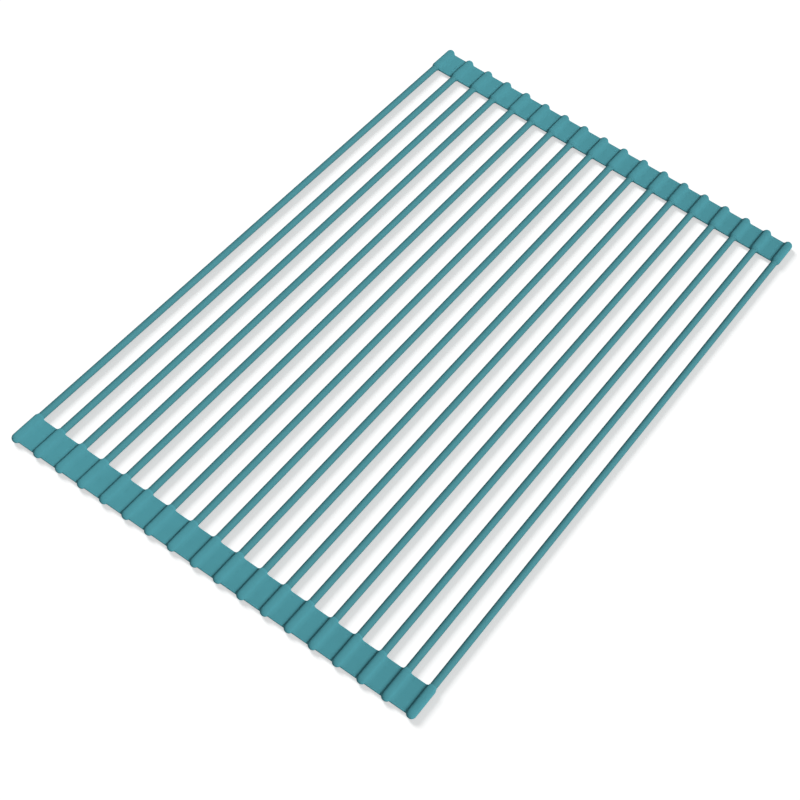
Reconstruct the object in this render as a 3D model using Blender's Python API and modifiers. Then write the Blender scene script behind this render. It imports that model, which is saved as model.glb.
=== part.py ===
"""Roll-up dish rack, lying flat as it does on a worktop.

Coated steel rods lie side by side, and a moulded silicone strip holds them at each end. A strip is a row
of links. Each link is a sleeve with a domed end, which holds one rod end in its socket, with half of the
flat web on either side of it. The webs fold midway between the rods, so the rack rolls up.

Metres, +Z up. X runs across the rods, Y along them, and the origin is under the middle of the rack.
"""

import math

import bmesh
import bpy
from mathutils import Matrix, Vector

# Rods: a steel tube with a silicone coat over all but the ends that the strips hold.
ROD_COUNT = 18
ROD_PITCH = 0.0190
COAT_DIAMETER = 0.0052
STEEL_DIAMETER = 0.0040
STEEL_BORE = 0.0030

# Strips: the drain slots end at the inner edges of the two webs. The drop is from the rods' axes to the
# middle of a web's thickness.
SLOT_LENGTH = 0.4769
WEB_WIDTH = 0.0245
WEB_THICKNESS = 0.0014
WEB_DROP = 0.0007
WEB_FILLET = 0.0040
WEB_EDGE_RADIUS = 0.0004
# How deep the ends of a web's faces lie inside the sleeve's wall.
WEB_SINK = 0.0004

# Sleeves: the dome stands proud of the web's outer edge, and the neck of its inner edge.
SLEEVE_DIAMETER = 0.0070
DOME_REACH = 0.0018
NECK_LENGTH = 0.0024
NECK_REACH = 0.0008
SOCKET_END_WALL = 0.0030

# Clearances: a rod in its socket, radially and endways, and two webs at the fold between them.
SOCKET_CLEARANCE = 0.0003
FOLD_CLEARANCE = 0.0003

# How finely round shapes are cut, and how far a cutter runs past what it cuts.
SLEEVE_SIDES = 12
ROD_SIDES = 10
DOME_STEPS = 3
FILLET_STEPS = 3
CUT_OVERRUN = 0.0010
WELD_DISTANCE = 0.000001

SLEEVE_RADIUS = SLEEVE_DIAMETER / 2
COAT_RADIUS = COAT_DIAMETER / 2
STEEL_RADIUS = STEEL_DIAMETER / 2
SOCKET_RADIUS = STEEL_RADIUS + SOCKET_CLEARANCE
# A sleeve stands on one of its flat sides, which are nearer to its axis than its corners are.
FLAT_SHARE = math.cos(math.pi / SLEEVE_SIDES)
AXIS_HEIGHT = SLEEVE_RADIUS * FLAT_SHARE
HALF_WEB = (ROD_PITCH - FOLD_CLEARANCE) / 2
WEB_TOP = WEB_THICKNESS / 2 - WEB_DROP
WEB_BOTTOM = WEB_TOP - WEB_THICKNESS
# Lengths along a link, outwards from the web's inner edge.
DOME_TIP = WEB_WIDTH + DOME_REACH
DOME_CENTRE = DOME_TIP - SLEEVE_RADIUS
NECK_TIP = -NECK_REACH
NECK_ROOT = NECK_TIP + NECK_LENGTH
SOCKET_END = DOME_TIP - SOCKET_END_WALL
# Half lengths of a rod, from the middle of the rack.
COAT_END = SLOT_LENGTH / 2 + NECK_TIP - SOCKET_CLEARANCE
STEEL_END = SLOT_LENGTH / 2 + SOCKET_END - SOCKET_CLEARANCE

COAT_COLOUR = (0.070, 0.300, 0.345, 1.0)
STRIP_COLOUR = (0.065, 0.290, 0.335, 1.0)


def empty_scene():
    for obj in list(bpy.data.objects):
        bpy.data.objects.remove(obj)


def new_collection(name):
    collection = bpy.data.collections.new(name)
    bpy.context.scene.collection.children.link(collection)
    return collection


def silicone(name, colour, roughness):
    """A matte rubbery finish."""
    material = bpy.data.materials.new(name)
    material.use_nodes = True
    shader = material.node_tree.nodes["Principled BSDF"]
    shader.inputs["Base Color"].default_value = colour
    shader.inputs["Roughness"].default_value = roughness
    shader.inputs["Metallic"].default_value = 0.0
    return material


def helper(name, mesh):
    """An object that only shapes others, so it is kept out of renders."""
    obj = bpy.data.objects.new(name, mesh)
    obj.hide_render = True
    obj.display_type = "WIRE"
    cutters.objects.link(obj)
    return obj


def baked_mesh(obj, name):
    """The object's shape with its modifiers worked out, its doubled points welded."""
    bpy.context.view_layer.update()
    graph = bpy.context.evaluated_depsgraph_get()
    mesh = bpy.data.meshes.new_from_object(obj.evaluated_get(graph))
    mesh.name = name
    shape = bmesh.new()
    shape.from_mesh(mesh)
    bmesh.ops.remove_doubles(shape, verts=shape.verts, dist=WELD_DISTANCE)
    shape.to_mesh(mesh)
    shape.free()
    return mesh


def laid_along_y(sides):
    """Lays a shape of this many sides about Z along Y, one side down."""
    side_to_front = Matrix.Rotation(math.pi / 2 + math.pi / sides, 4, "Z")
    return Matrix.Rotation(-math.pi / 2, 4, "X") @ side_to_front


def turned(name, profile, closed, sides):
    """The profile, as (radius, height) pairs from top to bottom, turned about Z and then laid along Y.

    One of the sides faces straight down.
    """
    mesh = bpy.data.meshes.new(name)
    points = [(radius, 0, height) for radius, height in profile]
    edges = [(i, i + 1) for i in range(len(points) - 1)]
    if closed:
        edges.append((len(points) - 1, 0))
    mesh.from_pydata(points, edges, [])
    obj = helper(name, mesh)
    screw = obj.modifiers.new("turn", "SCREW")
    screw.steps = sides
    screw.render_steps = sides
    screw.use_merge_vertices = True
    screw.merge_threshold = WELD_DISTANCE
    result = baked_mesh(obj, name)
    result.transform(laid_along_y(sides))
    bpy.data.objects.remove(obj)
    return result


def arc(centre, radius, start, end, steps):
    """Points along an arc, from one angle to the other."""
    angles = [start + (end - start) * step / steps for step in range(steps + 1)]
    return [(centre[0] + radius * math.cos(a), centre[1] + radius * math.sin(a)) for a in angles]


def sleeve_radius(y):
    """The radius of a link's outside at a distance y outwards from the web's inner edge."""
    if y < NECK_ROOT:
        neck_share = (y - NECK_TIP) / NECK_LENGTH
        return COAT_RADIUS + (SLEEVE_RADIUS - COAT_RADIUS) * neck_share
    if y > DOME_CENTRE:
        return math.sqrt(SLEEVE_RADIUS**2 - (y - DOME_CENTRE) ** 2)
    return SLEEVE_RADIUS


def web_half_outline(y, inset):
    """The cross-section of the half web on a link's right, as (x, z) from its underside round to its top.

    It is taken at a distance y from the web's inner edge, with its faces moved in by the inset. The
    fillet's circle touches the top face, and touches the sleeve's flat sides from outside. Both ends
    are inside the sleeve's wall, so that the two join.
    """
    flat_radius = sleeve_radius(y) * FLAT_SHARE
    top = WEB_TOP - inset
    bottom = WEB_BOTTOM + inset
    rise = top + WEB_FILLET
    reach = math.sqrt((flat_radius + WEB_FILLET) ** 2 - rise**2)
    to_sleeve = math.atan2(rise, reach) - math.pi
    fillet = arc((reach, rise), WEB_FILLET, -math.pi / 2, to_sleeve, FILLET_STEPS)
    sunk_radius = flat_radius - WEB_SINK
    touch_x, touch_z = fillet[-1]
    top_end = (touch_x * sunk_radius / flat_radius, touch_z * sunk_radius / flat_radius)
    bottom_end = (math.sqrt(sunk_radius**2 - bottom**2), bottom)
    return [bottom_end, (HALF_WEB, bottom), (HALF_WEB, top)] + fillet + [top_end]


def web_outline(y, inset, has_left, has_right):
    """The whole cross-section of a link's web. A side with no web ends on the sleeve's axis."""
    right = web_half_outline(y, inset)
    none = [(0, WEB_BOTTOM + inset), (0, WEB_TOP - inset)]
    left = [(-x, z) for x, z in reversed(right)]
    return (right if has_right else none) + (left if has_left else none[::-1])


def web(name, has_left, has_right):
    """The half webs of one link, lofted along Y through their cross-sections, with chamfered rims."""
    rims = [(0, WEB_EDGE_RADIUS), (WEB_WIDTH, WEB_EDGE_RADIUS)]
    full = [(y, 0) for y in (WEB_EDGE_RADIUS, NECK_ROOT, DOME_CENTRE, WEB_WIDTH - WEB_EDGE_RADIUS)]
    shape = bmesh.new()
    rings = []
    for y, inset in sorted(rims + full):
        outline = web_outline(y, inset, has_left, has_right)
        rings.append([shape.verts.new((x, y, z)) for x, z in outline])
    for ring, following in zip(rings, rings[1:]):
        for corner in range(len(ring)):
            before = corner - 1
            shape.faces.new((ring[before], ring[corner], following[corner], following[before]))
    shape.faces.new(rings[0])
    shape.faces.new(rings[-1])
    bmesh.ops.recalc_face_normals(shape, faces=shape.faces)
    mesh = bpy.data.meshes.new(name)
    shape.to_mesh(mesh)
    shape.free()
    return helper(name, mesh)


def link_mesh(name, has_left, has_right):
    """One link of a strip, its web's inner edge at Y 0 and its dome towards +Y."""
    dome = arc((0, DOME_CENTRE), SLEEVE_RADIUS, math.pi / 2, 0, DOME_STEPS)
    profile = [(0, DOME_TIP)] + dome[1:]
    profile += [(SLEEVE_RADIUS, NECK_ROOT), (COAT_RADIUS, NECK_TIP), (0, NECK_TIP)]
    link = helper(name, turned(name, profile, False, SLEEVE_SIDES))

    joined = link.modifiers.new("web", "BOOLEAN")
    joined.operation = "UNION"
    joined.object = web(name + "_web", has_left, has_right)

    socket_length = SOCKET_END - NECK_TIP + CUT_OVERRUN
    socket = bmesh.new()
    bmesh.ops.create_cone(
        socket,
        cap_ends=True,
        segments=ROD_SIDES,
        radius1=SOCKET_RADIUS,
        radius2=SOCKET_RADIUS,
        depth=socket_length,
        matrix=Matrix.Translation((0, SOCKET_END - socket_length / 2, 0)) @ laid_along_y(ROD_SIDES),
    )
    socket_mesh = bpy.data.meshes.new(name + "_socket")
    socket.to_mesh(socket_mesh)
    socket.free()
    bored = link.modifiers.new("socket", "BOOLEAN")
    bored.operation = "DIFFERENCE"
    bored.object = helper(name + "_socket", socket_mesh)
    return baked_mesh(link, name)


def rod_mesh():
    """A coated rod about the origin: a steel tube, open at both ends, with the coat between its ends."""
    bore = STEEL_BORE / 2
    profile = [
        (bore, STEEL_END),
        (STEEL_RADIUS, STEEL_END),
        (STEEL_RADIUS, COAT_END),
        (COAT_RADIUS, COAT_END),
        (COAT_RADIUS, -COAT_END),
        (STEEL_RADIUS, -COAT_END),
        (STEEL_RADIUS, -STEEL_END),
        (bore, -STEEL_END),
    ]
    return turned("coated_rod", profile, True, ROD_SIDES)


def place(name, mesh, location, turn, carrier):
    """Puts one piece in the rack, carried by the empty on its fold line where it has one."""
    obj = bpy.data.objects.new(name, mesh)
    rack.objects.link(obj)
    obj.matrix_world = Matrix.Translation(location) @ Matrix.Rotation(turn, 4, "Z")
    carry(obj, carrier)


def carry(obj, carrier):
    """Parents the object where it is."""
    if carrier is None:
        return
    bpy.context.view_layer.update()
    obj.parent = carrier
    obj.matrix_parent_inverse = carrier.matrix_world.inverted()


def finished(mesh, material):
    """The mesh with its material, and with its round faces shaded smooth."""
    mesh.materials.clear()
    mesh.materials.append(material)
    mesh.shade_smooth()
    mesh.set_sharp_from_angle(angle=math.radians(40))
    return mesh


def build_rack():
    strip_finish = silicone("strip_silicone", STRIP_COLOUR, 0.55)
    coat_finish = silicone("rod_coat_silicone", COAT_COLOUR, 0.50)
    rod = finished(rod_mesh(), coat_finish)
    both = finished(link_mesh("middle_link", True, True), strip_finish)
    right_only = finished(link_mesh("right_link", False, True), strip_finish)
    left_only = finished(link_mesh("left_link", True, False), strip_finish)

    carrier = None
    for number in range(1, ROD_COUNT + 1):
        x = (number - (ROD_COUNT + 1) / 2) * ROD_PITCH
        if number > 1:
            # The fold line to the rod before: midway between the two, along the top face of the web.
            fold = bpy.data.objects.new(f"fold_{number - 1:02d}", None)
            fold.empty_display_size = ROD_PITCH / 2
            rack.objects.link(fold)
            fold.matrix_world = Matrix.Translation((x - ROD_PITCH / 2, 0, AXIS_HEIGHT + WEB_TOP))
            carry(fold, carrier)
            carrier = fold
        far = both
        near = both
        if number == 1:
            far, near = right_only, left_only
        if number == ROD_COUNT:
            far, near = left_only, right_only
        on_axis = Vector((x, 0, AXIS_HEIGHT))
        to_strip = Vector((0, SLOT_LENGTH / 2, 0))
        place(f"rod_{number:02d}", rod, on_axis, 0, carrier)
        place(f"far_strip_link_{number:02d}", far, on_axis + to_strip, 0, carrier)
        # A near link is a far one turned half round, so the end links of the two strips swap.
        place(f"near_strip_link_{number:02d}", near, on_axis - to_strip, math.pi, carrier)


empty_scene()
rack = new_collection("roll_up_dish_rack")
cutters = new_collection("cutters")
build_rack()
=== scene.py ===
"""A roll-up dish rack: coated steel rods held by two moulded silicone strips, lying flat on a white floor.

Metres, +Z up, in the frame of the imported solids: X runs across the rods and Y along them.
"""

import math

import bpy
import numpy as np
from mathutils import Matrix, Vector


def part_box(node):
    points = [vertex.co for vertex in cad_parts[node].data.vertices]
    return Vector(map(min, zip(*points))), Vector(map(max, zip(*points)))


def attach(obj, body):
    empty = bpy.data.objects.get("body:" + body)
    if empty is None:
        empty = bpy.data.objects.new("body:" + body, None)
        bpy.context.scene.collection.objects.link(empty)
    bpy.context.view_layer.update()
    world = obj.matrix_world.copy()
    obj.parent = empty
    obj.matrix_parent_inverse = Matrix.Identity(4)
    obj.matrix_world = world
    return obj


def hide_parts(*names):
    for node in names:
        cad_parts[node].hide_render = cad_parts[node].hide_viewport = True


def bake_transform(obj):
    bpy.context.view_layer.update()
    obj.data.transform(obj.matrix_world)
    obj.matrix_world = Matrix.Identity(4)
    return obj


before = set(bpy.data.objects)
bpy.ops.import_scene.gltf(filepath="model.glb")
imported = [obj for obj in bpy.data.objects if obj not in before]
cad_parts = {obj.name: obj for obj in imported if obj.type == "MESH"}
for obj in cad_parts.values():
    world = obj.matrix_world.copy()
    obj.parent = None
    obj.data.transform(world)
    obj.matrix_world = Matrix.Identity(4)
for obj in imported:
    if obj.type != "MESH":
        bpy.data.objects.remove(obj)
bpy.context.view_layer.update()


# The rods are thin-walled steel tubes. A coat of matte silicone is drawn over each one, all but its two bare
# ends, which are pushed into the strips' sockets.
ROD_COUNT = 18
ROD_PITCH = 0.0190
ROD_HEIGHT = sum(corner.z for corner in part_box("rod_01")) / 2
SLOT_HALF_LENGTH = 0.23845
COAT_RADIUS = 0.0026
COAT_SINK = 0.0006
COAT_END_ROUND = 0.0005
STEEL_RADIUS = 0.0020
STEEL_BORE_RADIUS = 0.0015
STEEL_END = 0.26145
STEEL_END_ROUND = 0.0001
# How far short of a rounded end the evenly spaced points of the coat and the bore stop.
END_RUN = 0.0020
COAT_STEPS = 12
BORE_STEPS = 4
ROD_SIDES = 40
# Points nearer to each other than this are one, and a face this much outside the tube still counts as steel.
WELD_DISTANCE = 1e-7
STEEL_MARGIN = 0.0001
SHARP_ANGLE = math.radians(50)

COAT_COLOUR = (0.058, 0.218, 0.248, 1.0)
COAT_SHEEN_SPREAD = 0.75
COAT_FLATNESS = 0.2
STEEL_COLOUR = (0.56, 0.57, 0.58, 1.0)
# The lines on the steel are fine across the tube and long down it, in lines per metre.
STEEL_LINES = (4000, 40, 4000)
STEEL_SPREAD_LEAST = 0.22
STEEL_SPREAD_MOST = 0.42

SILICONE_REFRACTION = 1.41
SILICONE_SHINE = 0.12
CLOUD_SCALE = 90
CLOUD_DETAIL = 4
CLOUD_STRENGTH = 0.10
PATCH_SCALE = 160
PATCH_DETAIL = 3
PATCH_SPREAD = 0.16
GRAIN_SCALE = 2600
GRAIN_DETAIL = 2
GRAIN_STRENGTH = 0.5
GRAIN_HEIGHT = 0.00002


def closed_mesh(name, points, rows_close):
    """A mesh over a grid of points, with points that coincide made one.

    The grid is rows by columns by 3, and its columns close on themselves, as its rows do where rows_close
    is true. A quad joins each point to its next in both directions. Where a row shrinks to a point, its
    quads lose a corner, and where it folds flat, its two halves meet. If the signed volume, the sum of
    a . (b x c) / 6, is negative, every face is turned round, so that all of them point outwards.
    """
    rows, columns, _ = points.shape
    flat = points.reshape(-1, 3)
    keys = np.round(flat / WELD_DISTANCE).astype(np.int64)
    _, first, welded = np.unique(keys, axis=0, return_index=True, return_inverse=True)
    index = welded.reshape(rows, columns)
    lower, upper = (index, np.roll(index, -1, axis=0)) if rows_close else (index[:-1], index[1:])
    corners = [lower, np.roll(lower, -1, axis=1), np.roll(upper, -1, axis=1), upper]
    quads = np.stack(corners, axis=-1).reshape(-1, 4)
    same = quads == np.roll(quads, -1, axis=1)
    whole = quads[~same.any(axis=1)]
    cut = same.sum(axis=1) == 1
    triangles = quads[cut][~same[cut]].reshape(-1, 3)
    places = flat[first]
    halves = np.concatenate([whole[:, [0, 1, 2]], whole[:, [0, 2, 3]], triangles])
    a, b, c = (places[halves[:, corner]] for corner in range(3))
    if np.einsum("ij,ij->", a, np.cross(b, c)) < 0:
        whole = whole[:, ::-1]
        triangles = triangles[:, ::-1]
    mesh = bpy.data.meshes.new(name)
    mesh.from_pydata(places.tolist(), [], whole.tolist() + triangles.tolist())
    mesh.shade_smooth()
    mesh.set_sharp_from_angle(angle=SHARP_ANGLE)
    return mesh


def turned(profile, sides):
    """The points of a profile turned about the Y axis.

    The profile holds (r, y) pairs. At the angle a from straight up, a point is (r sin a, y, r cos a).
    """
    angle = np.linspace(0, 2 * np.pi, sides, endpoint=False)
    radius = profile[:, :1]
    along = np.repeat(profile[:, 1:], sides, axis=1)
    return np.stack([radius * np.sin(angle), along, radius * np.cos(angle)], axis=-1)


def rounded_corner(before, corner, after, size, steps=5):
    """A corner of a profile rounded off, as points from one side of it to the other.

    They lie on the curve (1-t)^2 p + 2 t (1-t) corner + t^2 q, where p and q are at the given size from the
    corner, towards the point before it and the one after it.
    """
    before, corner, after = (np.array(point, float) for point in (before, corner, after))
    start = corner + (before - corner) / np.linalg.norm(before - corner) * size
    end = corner + (after - corner) / np.linalg.norm(after - corner) * size
    t = np.linspace(0, 1, steps)[:, None]
    return (1 - t) ** 2 * start + 2 * t * (1 - t) * corner + t**2 * end


def coated_rod_profile():
    """Half of a rod's outline from its middle out, then the mirror of it, as one closed loop of (r, y)."""
    coat_end = SLOT_HALF_LENGTH + COAT_SINK
    coat_edge = (COAT_RADIUS, coat_end)
    coat_foot = (STEEL_RADIUS, coat_end)
    steel_edge = (STEEL_RADIUS, STEEL_END)
    bore_edge = (STEEL_BORE_RADIUS, STEEL_END)
    outline = [
        np.array([[COAT_RADIUS, y] for y in np.linspace(0, SLOT_HALF_LENGTH - END_RUN, COAT_STEPS)]),
        rounded_corner((COAT_RADIUS, 0), coat_edge, coat_foot, COAT_END_ROUND),
        np.array([coat_foot]),
        rounded_corner((STEEL_RADIUS, 0), steel_edge, bore_edge, STEEL_END_ROUND),
        rounded_corner(steel_edge, bore_edge, (STEEL_BORE_RADIUS, 0), STEEL_END_ROUND),
        np.array([[STEEL_BORE_RADIUS, y] for y in np.linspace(STEEL_END - END_RUN, 0, BORE_STEPS)]),
    ]
    half = np.concatenate(outline)
    return np.concatenate([half, (half * [1, -1])[-2:0:-1]])


def moulded_silicone_group():
    """Matte moulded silicone: faint clouds in its colour, a fine grain from the mould, and duller patches.

    The clouds are noise n about a half, and the colour is the given one times 1 + strength (n - 1/2). The
    patches are another noise m, and the roughness is the given one plus PATCH_SPREAD (m - 1/2).
    """
    group = bpy.data.node_groups.new("moulded_silicone", "ShaderNodeTree")
    for name, kind, way in (
        ("Place", "Vector", "INPUT"),
        ("Colour", "Color", "INPUT"),
        ("Cloud strength", "Float", "INPUT"),
        ("Roughness", "Float", "INPUT"),
        ("Colour", "Color", "OUTPUT"),
        ("Roughness", "Float", "OUTPUT"),
        ("Height", "Float", "OUTPUT"),
    ):
        group.interface.new_socket(name=name, in_out=way, socket_type="NodeSocket" + kind)
    nodes, links = group.nodes, group.links
    given = nodes.new("NodeGroupInput")
    made = nodes.new("NodeGroupOutput")

    clouds = nodes.new("ShaderNodeTexNoise")
    clouds.inputs["Scale"].default_value = CLOUD_SCALE
    clouds.inputs["Detail"].default_value = CLOUD_DETAIL
    links.new(given.outputs["Place"], clouds.inputs["Vector"])
    centred = nodes.new("ShaderNodeMath")
    centred.operation = "SUBTRACT"
    centred.inputs[1].default_value = 0.5
    links.new(clouds.outputs["Fac"], centred.inputs[0])
    swing = nodes.new("ShaderNodeMath")
    swing.operation = "MULTIPLY_ADD"
    swing.inputs[2].default_value = 1.0
    links.new(centred.outputs["Value"], swing.inputs[0])
    links.new(given.outputs["Cloud strength"], swing.inputs[1])
    tinted = nodes.new("ShaderNodeVectorMath")
    tinted.operation = "SCALE"
    links.new(given.outputs["Colour"], tinted.inputs[0])
    links.new(swing.outputs["Value"], tinted.inputs["Scale"])
    links.new(tinted.outputs["Vector"], made.inputs["Colour"])

    patches = nodes.new("ShaderNodeTexNoise")
    patches.inputs["Scale"].default_value = PATCH_SCALE
    patches.inputs["Detail"].default_value = PATCH_DETAIL
    links.new(given.outputs["Place"], patches.inputs["Vector"])
    least = nodes.new("ShaderNodeMath")
    least.operation = "SUBTRACT"
    least.inputs[1].default_value = PATCH_SPREAD / 2
    links.new(given.outputs["Roughness"], least.inputs[0])
    dull = nodes.new("ShaderNodeMath")
    dull.operation = "MULTIPLY_ADD"
    dull.inputs[1].default_value = PATCH_SPREAD
    links.new(patches.outputs["Fac"], dull.inputs[0])
    links.new(least.outputs["Value"], dull.inputs[2])
    links.new(dull.outputs["Value"], made.inputs["Roughness"])

    grain = nodes.new("ShaderNodeTexNoise")
    grain.inputs["Scale"].default_value = GRAIN_SCALE
    grain.inputs["Detail"].default_value = GRAIN_DETAIL
    links.new(given.outputs["Place"], grain.inputs["Vector"])
    links.new(grain.outputs["Fac"], made.inputs["Height"])
    return group


silicone = moulded_silicone_group()


def silicone_material(name, colour, sheen_spread, flatness):
    """A material of silicone in one colour.

    Flatness, from 0 to 1, says how much its surface scatters. The more it does, the longer a slope keeps its
    brightness as it turns from the light.
    """
    material = bpy.data.materials.new(name)
    material.use_nodes = True
    nodes, links = material.node_tree.nodes, material.node_tree.links
    shader = nodes["Principled BSDF"]
    shader.inputs["IOR"].default_value = SILICONE_REFRACTION
    shader.inputs["Specular IOR Level"].default_value = SILICONE_SHINE
    shader.inputs["Diffuse Roughness"].default_value = flatness
    place = nodes.new("ShaderNodeTexCoord")
    surface = nodes.new("ShaderNodeGroup")
    surface.node_tree = silicone
    surface.inputs["Colour"].default_value = colour
    surface.inputs["Cloud strength"].default_value = CLOUD_STRENGTH
    surface.inputs["Roughness"].default_value = sheen_spread
    links.new(place.outputs["Object"], surface.inputs["Place"])
    links.new(surface.outputs["Colour"], shader.inputs["Base Color"])
    links.new(surface.outputs["Roughness"], shader.inputs["Roughness"])
    bump = nodes.new("ShaderNodeBump")
    bump.inputs["Strength"].default_value = GRAIN_STRENGTH
    bump.inputs["Distance"].default_value = GRAIN_HEIGHT
    links.new(surface.outputs["Height"], bump.inputs["Height"])
    links.new(bump.outputs["Normal"], shader.inputs["Normal"])
    return material


def drawn_steel_material():
    """Bright drawn tube, with fine lines along it."""
    material = bpy.data.materials.new("drawn_steel")
    material.use_nodes = True
    nodes, links = material.node_tree.nodes, material.node_tree.links
    shader = nodes["Principled BSDF"]
    shader.inputs["Base Color"].default_value = STEEL_COLOUR
    shader.inputs["Metallic"].default_value = 1.0
    place = nodes.new("ShaderNodeTexCoord")
    stretched = nodes.new("ShaderNodeMapping")
    stretched.inputs["Scale"].default_value = STEEL_LINES
    lines = nodes.new("ShaderNodeTexNoise")
    lines.inputs["Scale"].default_value = 1
    spread = nodes.new("ShaderNodeMapRange")
    spread.inputs["To Min"].default_value = STEEL_SPREAD_LEAST
    spread.inputs["To Max"].default_value = STEEL_SPREAD_MOST
    links.new(place.outputs["Object"], stretched.inputs["Vector"])
    links.new(stretched.outputs["Vector"], lines.inputs["Vector"])
    links.new(lines.outputs["Fac"], spread.inputs["Value"])
    links.new(spread.outputs["Result"], shader.inputs["Roughness"])
    return material


def new_piece(name, mesh):
    """A piece of the rack, whose mesh is already in place."""
    piece = bpy.data.objects.new(name, mesh)
    bpy.context.scene.collection.objects.link(piece)
    return piece


def rod_place(number):
    """Where the axis of a rod is, in X. Rods count from the left."""
    return (number - (ROD_COUNT + 1) / 2) * ROD_PITCH


coat_silicone = silicone_material("coat_silicone", COAT_COLOUR, COAT_SHEEN_SPREAD, COAT_FLATNESS)
drawn_steel = drawn_steel_material()
rod_points = turned(coated_rod_profile(), ROD_SIDES)
for number in range(1, ROD_COUNT + 1):
    mesh = closed_mesh("coated_rod", rod_points + [rod_place(number), 0, ROD_HEIGHT], True)
    mesh.materials.append(coat_silicone)
    mesh.materials.append(drawn_steel)
    # A face is bare steel where its middle lies no farther from the rod's axis than the tube's outside.
    middles = np.zeros(len(mesh.polygons) * 3)
    mesh.polygons.foreach_get("center", middles)
    middles = middles.reshape(-1, 3) - [rod_place(number), 0, ROD_HEIGHT]
    bare = np.hypot(middles[:, 0], middles[:, 2]) < STEEL_RADIUS + STEEL_MARGIN
    mesh.polygons.foreach_set("material_index", bare.astype(np.int32))
    rod = new_piece(f"coated_rod_{number:02d}", mesh)
    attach(rod, f"link_{number:02d}")
    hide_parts(f"rod_{number:02d}")


# Each strip is one moulding of soft silicone. Its sleeves are closed by a dome at the outer end, and narrow
# to a neck at the inner end, where the rod goes in. The socket inside is blind.
SLEEVE_RADIUS = 0.0035
WEB_WIDTH = 0.0245
DOME_TIP = 0.0263
DOME_ROOT = DOME_TIP - SLEEVE_RADIUS
NECK_TIP = -0.0008
NECK_ROOT = 0.0016
NECK_LIP_RADIUS = 0.00278
NECK_LIP_ROUND = 0.00006
MOUTH_RADIUS = 0.00265
MOUTH_DEPTH = 0.0020
SOCKET_RADIUS = 0.0023
SOCKET_END = 0.0233
DOME_STEPS = 15
SLEEVE_STEPS = 8
NECK_STEPS = 13
LIP_STEPS = 4
SLEEVE_SIDES = 56

STRIP_COLOUR = (0.0655, 0.263, 0.304, 1.0)
STRIP_SHEEN_SPREAD = 0.75
STRIP_FLATNESS = 0.7


def sleeve_radius(y):
    """The sleeve's outer radius at a distance y outwards from the web's inner edge.

    The neck widens by s^2 (3 - 2s), where s goes from 0 at its tip to 1 at its root. The dome narrows by
    sqrt(1 - t^2), where t goes from 0 at its root to 1 at its tip.
    """
    s = np.clip((y - NECK_TIP) / (NECK_ROOT - NECK_TIP), 0, 1)
    neck = NECK_LIP_RADIUS + (SLEEVE_RADIUS - NECK_LIP_RADIUS) * s**2 * (3 - 2 * s)
    t = np.clip((y - DOME_ROOT) / (DOME_TIP - DOME_ROOT), 0, 1)
    dome = SLEEVE_RADIUS * np.sqrt(1 - t**2)
    return np.minimum(neck, dome)


def sleeve_profile():
    """A sleeve's outline from the tip of its dome, over the outside and into its socket, as (r, y)."""
    around_dome = DOME_ROOT + (DOME_TIP - DOME_ROOT) * np.cos(np.linspace(0, np.pi / 2, DOME_STEPS))
    down_sleeve = np.linspace(DOME_ROOT, NECK_ROOT, SLEEVE_STEPS)[1:]
    down_neck = np.linspace(NECK_ROOT, NECK_TIP, NECK_STEPS)[1:-1]
    along = np.concatenate([around_dome, down_sleeve, down_neck])
    outside = np.stack([sleeve_radius(along), along], axis=1)
    lip = (NECK_LIP_RADIUS, NECK_TIP)
    mouth = (MOUTH_RADIUS, NECK_TIP)
    mouth_floor = NECK_TIP + MOUTH_DEPTH
    inside = [
        rounded_corner(outside[-1], lip, mouth, NECK_LIP_ROUND, LIP_STEPS),
        rounded_corner(lip, mouth, (MOUTH_RADIUS, 0), NECK_LIP_ROUND, LIP_STEPS),
        np.array([[MOUTH_RADIUS, mouth_floor], [SOCKET_RADIUS, mouth_floor]]),
        np.array([[SOCKET_RADIUS, SOCKET_END], [0, SOCKET_END]]),
    ]
    return np.concatenate([outside, *inside])


strip_silicone = silicone_material("strip_silicone", STRIP_COLOUR, STRIP_SHEEN_SPREAD, STRIP_FLATNESS)
sleeve_points = turned(sleeve_profile(), SLEEVE_SIDES)
for side, way in (("near", -1), ("far", 1)):
    for number in range(1, ROD_COUNT + 1):
        socket_place = [rod_place(number), way * SLOT_HALF_LENGTH, ROD_HEIGHT]
        mesh = closed_mesh(f"{side}_sleeve", sleeve_points * [1, way, 1] + socket_place, False)
        mesh.materials.append(strip_silicone)
        sleeve = new_piece(f"{side}_sleeve_{number:02d}", mesh)
        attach(sleeve, f"link_{number:02d}")
        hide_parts(f"{side}_strip_link_{number:02d}")


# Between two sleeves the moulding is a thin flat web, filleted into both of them. It is all that bends when
# the rack is rolled up, but here each web is laid flat in its place and tied to neither link.
WEB_TOP = 0.0
WEB_BOTTOM = -0.0014
TOP_FILLET = 0.0040
OUTER_TOP_FILLET = 0.0016
BOTTOM_FILLET = 0.0008
RIM_ROUND = 0.0005
# How far from the sleeve's axis, and level with it, the web's two faces end inside the sleeve's wall.
ROOT_REACH = 0.00285
FILLET_STEPS = 9
FLAT_STEPS = 27
RIM_STEPS = 8
WEB_STEPS = 8
WEB_END_STEPS = 5


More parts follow.
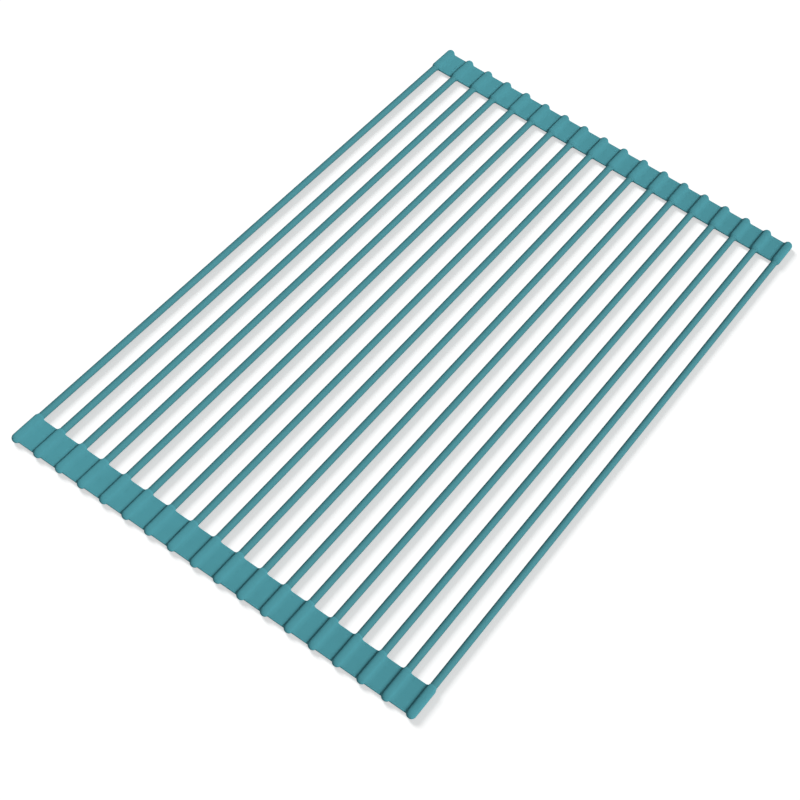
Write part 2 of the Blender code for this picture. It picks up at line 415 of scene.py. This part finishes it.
def web_face(y, level, way, fillet):
    """One face of a web from the left sleeve to the right one, as (x, z) at each y, from the web's middle.

    The face is flat at its level. Near a sleeve of radius R it turns up round a fillet f, whose centre is
    at the height c = level + way f and, from the sleeve's axis, sqrt((R + f)^2 - c^2) away. So the fillet
    touches both. The face ends at the root, inside the sleeve's wall.
    """
    radius = sleeve_radius(y)[:, None]
    fillet = fillet[:, None]
    height = level + way * fillet
    reach = np.sqrt((radius + fillet) ** 2 - height**2)
    t = np.linspace(0, 1, FILLET_STEPS)
    start = -way * np.pi / 2
    angle = start + (np.arctan2(-height, -reach) - start) * t
    out = reach + fillet * np.cos(angle)
    up = height + fillet * np.sin(angle)
    half = ROD_PITCH / 2
    flat = (reach - half) * np.linspace(1, -1, FLAT_STEPS)[1:-1]
    ones = np.ones_like(radius)
    root = (half - ROOT_REACH) * ones
    x = np.concatenate([-root, (out - half)[:, ::-1], flat, half - out, root], axis=1)
    z = np.concatenate([0 * ones, up[:, ::-1], level + 0 * flat, up, 0 * ones], axis=1)
    return np.stack([x, z], axis=-1)


def web_points():
    """Loops of points round a web, one at each step along the rods.

    The two faces keep their mean, and their distance from it is scaled by sin a over the rounded rims,
    where the distance in from the rim is r (1 - cos a). The top fillet shrinks by s^2 (3 - 2s) along the
    dome, where s goes from 0 at its root to 1 at the outer rim.
    """
    turn = np.linspace(0, np.pi / 2, RIM_STEPS)
    rim = RIM_ROUND * (1 - np.cos(turn))
    inner = np.linspace(RIM_ROUND, NECK_ROOT, WEB_END_STEPS)[1:]
    middle = np.linspace(NECK_ROOT, DOME_ROOT, WEB_STEPS)[1:]
    outer = np.linspace(DOME_ROOT, WEB_WIDTH - RIM_ROUND, WEB_END_STEPS)[1:-1]
    y = np.concatenate([rim, inner, middle, outer, WEB_WIDTH - rim[::-1]])
    share = np.ones_like(y)
    share[: len(turn)] = np.sin(turn)
    share[-len(turn) :] = np.sin(turn[::-1])
    s = np.clip((y - DOME_ROOT) / (WEB_WIDTH - DOME_ROOT), 0, 1)
    top_fillet = TOP_FILLET + (OUTER_TOP_FILLET - TOP_FILLET) * s**2 * (3 - 2 * s)
    top = web_face(y, WEB_TOP, 1, top_fillet)
    bottom = web_face(y, WEB_BOTTOM, -1, np.full_like(y, BOTTOM_FILLET))
    mean = (top + bottom) / 2
    half = (top - bottom) / 2 * share[:, None, None]
    loop = np.concatenate([mean + half, (mean - half)[:, ::-1][:, 1:-1]], axis=1)
    along = np.repeat(y[:, None], loop.shape[1], axis=1)
    return np.stack([loop[..., 0], along, loop[..., 1]], axis=-1)


flat_web = web_points()
for side, way in (("near", -1), ("far", 1)):
    for number in range(1, ROD_COUNT):
        fold = rod_place(number) + ROD_PITCH / 2
        web_place = [fold, way * SLOT_HALF_LENGTH, ROD_HEIGHT]
        mesh = closed_mesh(f"{side}_web", flat_web * [1, way, 1] + web_place, False)
        mesh.materials.append(strip_silicone)
        web = new_piece(f"{side}_web_{number:02d}", mesh)
        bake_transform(web)


# The floor is a wide white sheet that the rack lies on. It keeps the rack's shadow, and shows as plain white
# where it is fully lit.
FLOOR_SIZE = 8.0
FLOOR_COLOUR = (0.86, 0.86, 0.86, 1.0)
FLOOR_LIFT = 0.585


def camera_ray(nodes):
    """A value of 1 on the rays from the camera, which show the background, and 0 on all others."""
    return nodes.new("ShaderNodeLightPath").outputs["Is Camera Ray"]


def floor_material():
    """White, with a lift on the rays from the camera, so that it clips to plain white away from shadows."""
    material = bpy.data.materials.new("white_sheet")
    material.use_nodes = True
    nodes, links = material.node_tree.nodes, material.node_tree.links
    shader = nodes["Principled BSDF"]
    shader.inputs["Base Color"].default_value = FLOOR_COLOUR
    shader.inputs["Roughness"].default_value = 1.0
    shader.inputs["Specular IOR Level"].default_value = 0.0
    shader.inputs["Emission Color"].default_value = (1, 1, 1, 1)
    lift = nodes.new("ShaderNodeMath")
    lift.operation = "MULTIPLY"
    lift.inputs[1].default_value = FLOOR_LIFT
    links.new(camera_ray(nodes), lift.inputs[0])
    links.new(lift.outputs["Value"], shader.inputs["Emission Strength"])
    return material


floor_mesh = bpy.data.meshes.new("floor")
floor_corners = np.array([[-1, -1, 0], [1, -1, 0], [1, 1, 0], [-1, 1, 0]]) * FLOOR_SIZE / 2
floor_mesh.from_pydata((floor_corners + [0, 0, ROD_HEIGHT - SLEEVE_RADIUS]).tolist(), [], [(0, 1, 2, 3)])
floor_mesh.materials.append(floor_material())
floor = bpy.data.objects.new("floor", floor_mesh)
bpy.context.scene.collection.objects.link(floor)


# Studio light from far off, so that it falls alike on the whole rack. The main lamp stands high on the right
# and weak ones in front and behind fill in. Another lights only the floor, for the shadows beside the rods.
WORLD_LEVEL = 0.15


def lit_only(name, objects):
    """A group of the objects that a lamp lights, the others being left dark by it."""
    group = bpy.data.collections.new(name)
    for obj in objects:
        group.objects.link(obj)
    return group


def far_lamp(name, receivers, azimuth, elevation, spread, level):
    """A lamp far off, as wide as the spread. At level 1 it lights a white card facing it to white.

    A white card in a light of E watts per square metre shines with E / pi. The angles are in degrees, and
    the azimuth goes from the front towards the right.
    """
    lamp = bpy.data.lights.new(name, "SUN")
    lamp.angle = math.radians(spread)
    lamp.energy = level * math.pi
    obj = bpy.data.objects.new(name, lamp)
    bpy.context.scene.collection.objects.link(obj)
    a, e = math.radians(azimuth), math.radians(elevation)
    back = Vector((math.sin(a) * math.cos(e), -math.cos(a) * math.cos(e), math.sin(e)))
    obj.location = back
    obj.rotation_euler = back.to_track_quat("Z", "Y").to_euler()
    obj.light_linking.receiver_collection = receivers


rack_pieces = [obj for obj in bpy.context.scene.objects if obj.type == "MESH" and obj != floor]
rack_only = lit_only("rack_only", rack_pieces)
floor_only = lit_only("floor_only", [floor])
far_lamp("main_lamp", rack_only, azimuth=92, elevation=49.5, spread=9, level=1.18)
far_lamp("front_lamp", rack_only, azimuth=0, elevation=15, spread=33, level=0.20)
far_lamp("back_lamp", rack_only, azimuth=185, elevation=12, spread=33, level=0.15)
far_lamp("floor_lamp", floor_only, azimuth=258, elevation=40, spread=26, level=0.63)

world = bpy.data.worlds.new("studio")
bpy.context.scene.world = world
world.use_nodes = True
world_nodes, world_links = world.node_tree.nodes, world.node_tree.links
strength = world_nodes.new("ShaderNodeMapRange")
strength.inputs["To Min"].default_value = WORLD_LEVEL
strength.inputs["To Max"].default_value = 1.0
world_links.new(camera_ray(world_nodes), strength.inputs["Value"])
world_nodes["Background"].inputs["Color"].default_value = (1, 1, 1, 1)
world_links.new(strength.outputs["Result"], world_nodes["Background"].inputs["Strength"])


# The camera looks down on the rack from the front right, turned a little, so that the rods run up to the
# right of the picture.
CAMERA_PLACE = Vector((0.33984, -0.74962, 0.95426 + ROD_HEIGHT))
CAMERA_AZIMUTH = math.radians(25.357)
CAMERA_ELEVATION = math.radians(51.588)
CAMERA_ROLL = math.radians(12.260)
CAMERA_LENS = 78.096
CAMERA_SENSOR = 36.0

camera = bpy.data.objects.new("camera", bpy.data.cameras.new("camera"))
bpy.context.scene.collection.objects.link(camera)
camera.data.lens = CAMERA_LENS
camera.data.sensor_width = CAMERA_SENSOR
level_right = Vector((math.cos(CAMERA_AZIMUTH), math.sin(CAMERA_AZIMUTH), 0))
back = Vector((0, 0, math.sin(CAMERA_ELEVATION))) + math.cos(CAMERA_ELEVATION) * Vector(
    (math.sin(CAMERA_AZIMUTH), -math.cos(CAMERA_AZIMUTH), 0)
)
right = math.cos(CAMERA_ROLL) * level_right + math.sin(CAMERA_ROLL) * back.cross(level_right)
up = back.cross(right)
camera.matrix_world = Matrix.Translation(CAMERA_PLACE) @ Matrix((right, up, back)).transposed().to_4x4()
bpy.context.scene.camera = camera
bpy.context.scene.view_settings.view_transform = "Standard"
